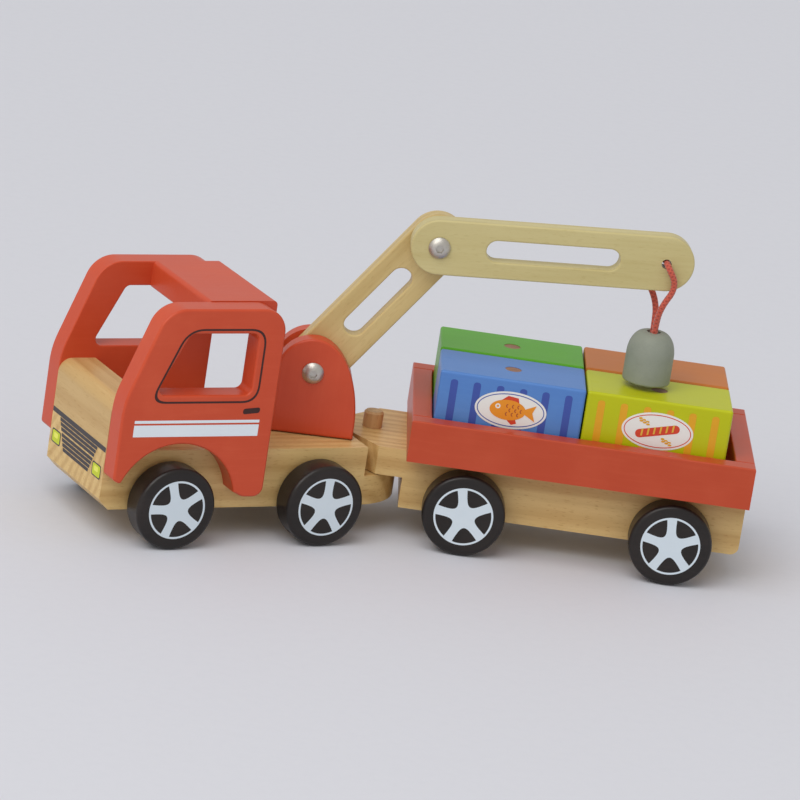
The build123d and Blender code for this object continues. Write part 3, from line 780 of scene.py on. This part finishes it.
def loaf(put):
    """A long loaf with cuts, between two ears of wheat."""
    rise, run = math.sin(math.radians(14)), math.cos(math.radians(14))

    def leaning(points):
        return [(x * run - y * rise, x * rise + y * run) for x, y in points]

    stick = arc_points((8.6, 0), 2.1, -90, 90, 8) + arc_points((-8.6, 0), 2.1, 90, 270, 8)
    put("loaf", "scarlet", [leaning(stick)], 3)
    cuts = []
    for x in (-8.4, -5.4, -2.4, 0.6, 3.6, 6.6):
        cuts.append(leaning([(x, -1.2), (x + 0.9, -1.2), (x + 2.0, 2.2), (x + 1.1, 2.2)]))
    put("loaf_cuts", "straw", cuts, 4)
    grains = []
    for base_x, base_y in ((-8.8, 5.4), (3.0, -3.4)):
        for i in range(3):
            x, y = base_x + 1.7 * i, base_y - 0.7 * i
            grains.append(oval((x, y), (0.95, 0.55), 10))
            grains.append(oval((x + 0.4, y - 1.2), (0.95, 0.5), 10))
    put("wheat", "amber", grains, 3)


def apple(put):
    """A round fruit with a stalk and a leaf."""
    left = arc_points((-1.9, -0.6), (3.6, 4.3), 60, 290, 20)
    right = arc_points((1.9, -0.6), (3.6, 4.3), -110, 120, 20)
    put("fruit", "scarlet", [left + right], 3)
    put("fruit_stalk", "brick", [[(-0.3, 3.0), (0.4, 3.0), (1.0, 5.9), (0.4, 6.1)]], 4)
    put("fruit_leaf", "leaf", [oval((3.2, 5.0), (2.3, 1.0), 18)], 4)


def carrot(put):
    """A pointed root with a leafy top."""
    put("root", "orange", [rounded([(-6.5, -3.0), (7.8, -0.4), (7.8, 0.6), (-6.5, 3.2)], 2.2, 6)], 3)
    leaves = [((-9.0, 2.2), (2.9, 1.0)), ((-9.6, 0.0), (3.0, 0.9)), ((-9.0, -2.2), (2.9, 1.0))]
    put("root_leaves", "leaf", [oval(centre, radius, 14) for centre, radius in leaves], 4)


# Rib ink, label line ink and picture of each block
BLOCK_PRINTS = {
    "blue": ("deep_blue", "deep_blue", fish),
    "yellow": ("amber", "scarlet", loaf),
    "green": ("deep_green", "deep_green", apple),
    "orange": ("brick", "brick", carrot),
}

RIB_PLACES = (-27.8, -16.8, -5.6, 5.4, 16.2, 27.2)
RIB_HALF = 1.75
LABEL_CENTRE = (0.6, -14.9)


def block_prints(colour):
    """Ribs and an oval label on both long faces of one container block."""
    rib_ink, line_ink, picture = BLOCK_PRINTS[colour]
    low, high = (TRAILER.inverted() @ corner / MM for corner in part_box("container_" + colour))
    for side, word, y in ((-1, "left", -low.y), (1, "right", high.y)):
        place = side_face(TRAILER, side, y, (low.x + high.x) / 2, high.z)
        label = place @ Matrix.Translation((LABEL_CENTRE[0] * MM, LABEL_CENTRE[1] * MM, 0))

        def put(name, ink_name, outlines, layer=0, where=label, tag=f"{colour}_{word}"):
            body, slot = "container_" + colour, colour + "_paint"
            print_on(f"{tag}_{name}", body, ink_name, where, outlines, layer)

        ribs = [rounded(bar(x - RIB_HALF, x + RIB_HALF, -34.6, -3.6), 1.7, 5) for x in RIB_PLACES]
        put("ribs", rib_ink, ribs, where=place)
        put("label", "paper", [oval((0, 0), (17.2, 9.2), 72)], 1)
        put("label_line", line_ink, [oval((0, 0), (16.2, 8.2), 72), oval((0, 0), (15.75, 7.75), 72)], 2)
        picture(put)


for _colour in BLOCK_PRINTS:
    block_prints(_colour)

# ---------------------------------------------------------------- studio

FLOOR_SIZE = 40.0
FLOOR_DROP = 0.0002


def studio():
    """A pale floor without edges in sight, a pale sky and two soft lights."""
    built = bmesh.new()
    bmesh.ops.create_grid(built, x_segments=8, y_segments=8, size=FLOOR_SIZE)
    mesh = bpy.data.meshes.new("studio_floor")
    built.to_mesh(mesh)
    built.free()
    floor = bpy.data.objects.new("studio_floor", mesh)
    bpy.context.scene.collection.objects.link(floor)
    floor.location.z = cad_low.z - FLOOR_DROP
    paper = mottled((0.70, 0.71, 0.765), (0.68, 0.69, 0.745), 0.6)
    mesh.materials.append(finish_material("studio_paper", MOTTLE, paper, None, 0.02))
    world = bpy.data.worlds.new("studio_world")
    world.use_nodes = True
    backdrop = world.node_tree.nodes["Background"]
    backdrop.inputs["Color"].default_value = (0.97, 0.96, 0.95, 1)
    backdrop.inputs["Strength"].default_value = 0.60
    bpy.context.scene.world = world
    window_light()
    sky_light()


studio()
